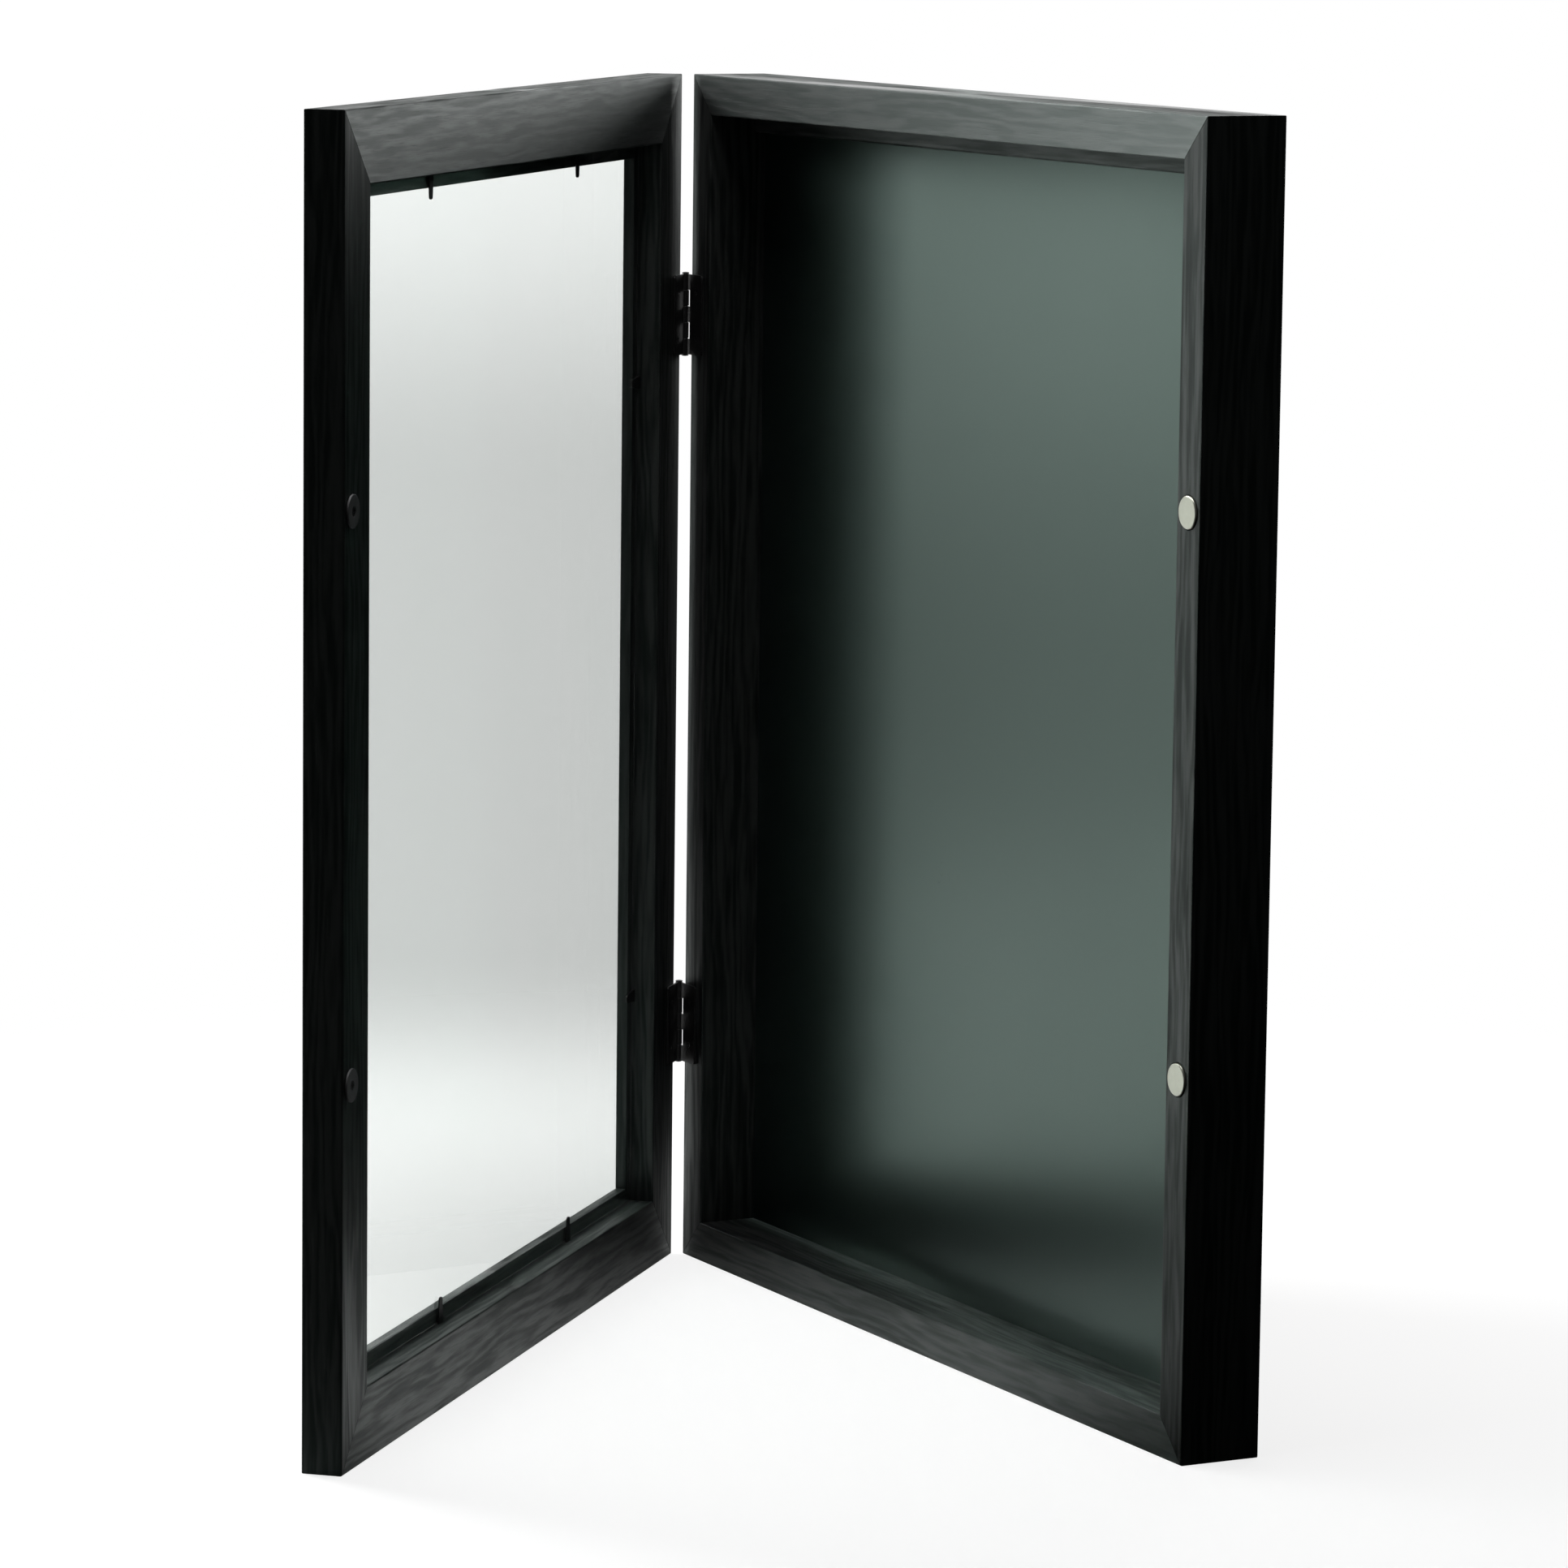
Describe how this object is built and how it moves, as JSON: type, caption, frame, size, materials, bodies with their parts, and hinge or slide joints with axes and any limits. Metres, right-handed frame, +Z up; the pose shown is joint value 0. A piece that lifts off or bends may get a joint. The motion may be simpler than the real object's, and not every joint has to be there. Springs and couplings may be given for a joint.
{
  "type": "jersey display case",
  "caption": "Shallow black wooden wall case with a lined board inside and a rabbeted, clear-glazed door on butt hinges, held shut by round magnets, for showing a jersey.",
  "frame": {"origin": "centre of the case's underside, at half its width and half its depth", "axes": "+Z up, +Y towards the wall behind the case, +X from the hinge side to the latch side; the case opens towards -Y"},
  "size_m": [0.6538, 0.5095, 0.762],
  "materials": {
    "black_wood": "black stain, satin, open grain",
    "liner": "charcoal laminate, satin",
    "hardboard": "brown pressed board, matt",
    "acrylic": "clear, polished",
    "black_steel": "black, satin",
    "nickel": "nickel plated",
    "zinc_steel": "zinc plated"
  },
  "bodies": {
    "case": {"case_rail_bottom": "black_wood", "case_rail_top": "black_wood", "case_stile_hinge": "black_wood", "case_stile_latch": "black_wood", "liner_board": "liner", "back_panel": "hardboard", "hanging_strip": "black_wood", "back_tab_bottom_1": "black_steel", "back_tab_bottom_2": "black_steel", "back_tab_top_1": "black_steel", "back_tab_top_2": "black_steel", "back_tab_left_1": "black_steel", "back_tab_left_2": "black_steel", "back_tab_right_1": "black_steel", "back_tab_right_2": "black_steel", "magnet_upper": "nickel", "magnet_lower": "nickel", "hinge_upper_case_leaf": "black_steel", "hinge_lower_case_leaf": "black_steel", "hinge_upper_pin": "black_steel", "hinge_lower_pin": "black_steel", "hinge_upper_case_screw_1": "black_steel", "hinge_upper_case_screw_2": "black_steel", "hinge_lower_case_screw_1": "black_steel", "hinge_lower_case_screw_2": "black_steel", "hanger_left": "zinc_steel", "hanger_right": "zinc_steel", "hanger_left_screw_1": "zinc_steel", "hanger_left_screw_2": "zinc_steel", "hanger_right_screw_1": "zinc_steel", "hanger_right_screw_2": "zinc_steel"},
    "door": {"door_rail_bottom": "black_wood", "door_rail_top": "black_wood", "door_stile_hinge": "black_wood", "door_stile_free": "black_wood", "glazing": "acrylic", "glazing_tab_bottom_1": "black_steel", "glazing_tab_bottom_2": "black_steel", "glazing_tab_top_1": "black_steel", "glazing_tab_top_2": "black_steel", "glazing_tab_left_1": "black_steel", "glazing_tab_left_2": "black_steel", "glazing_tab_right_1": "black_steel", "glazing_tab_right_2": "black_steel", "strike_upper": "black_steel", "strike_lower": "black_steel", "strike_upper_screw": "black_steel", "strike_lower_screw": "black_steel", "hinge_upper_door_leaf": "black_steel", "hinge_lower_door_leaf": "black_steel", "hinge_upper_door_screw_1": "black_steel", "hinge_upper_door_screw_2": "black_steel", "hinge_lower_door_screw_1": "black_steel", "hinge_lower_door_screw_2": "black_steel"}
  },
  "joints": [
    {"name": "door_swing", "type": "hinge", "parent": "case", "child": "door", "pos_m": [-0.3235, -0.02685, 0.381], "axis": [0, 0, -1], "range_deg": [-43.2, 136.8]}
  ]
}
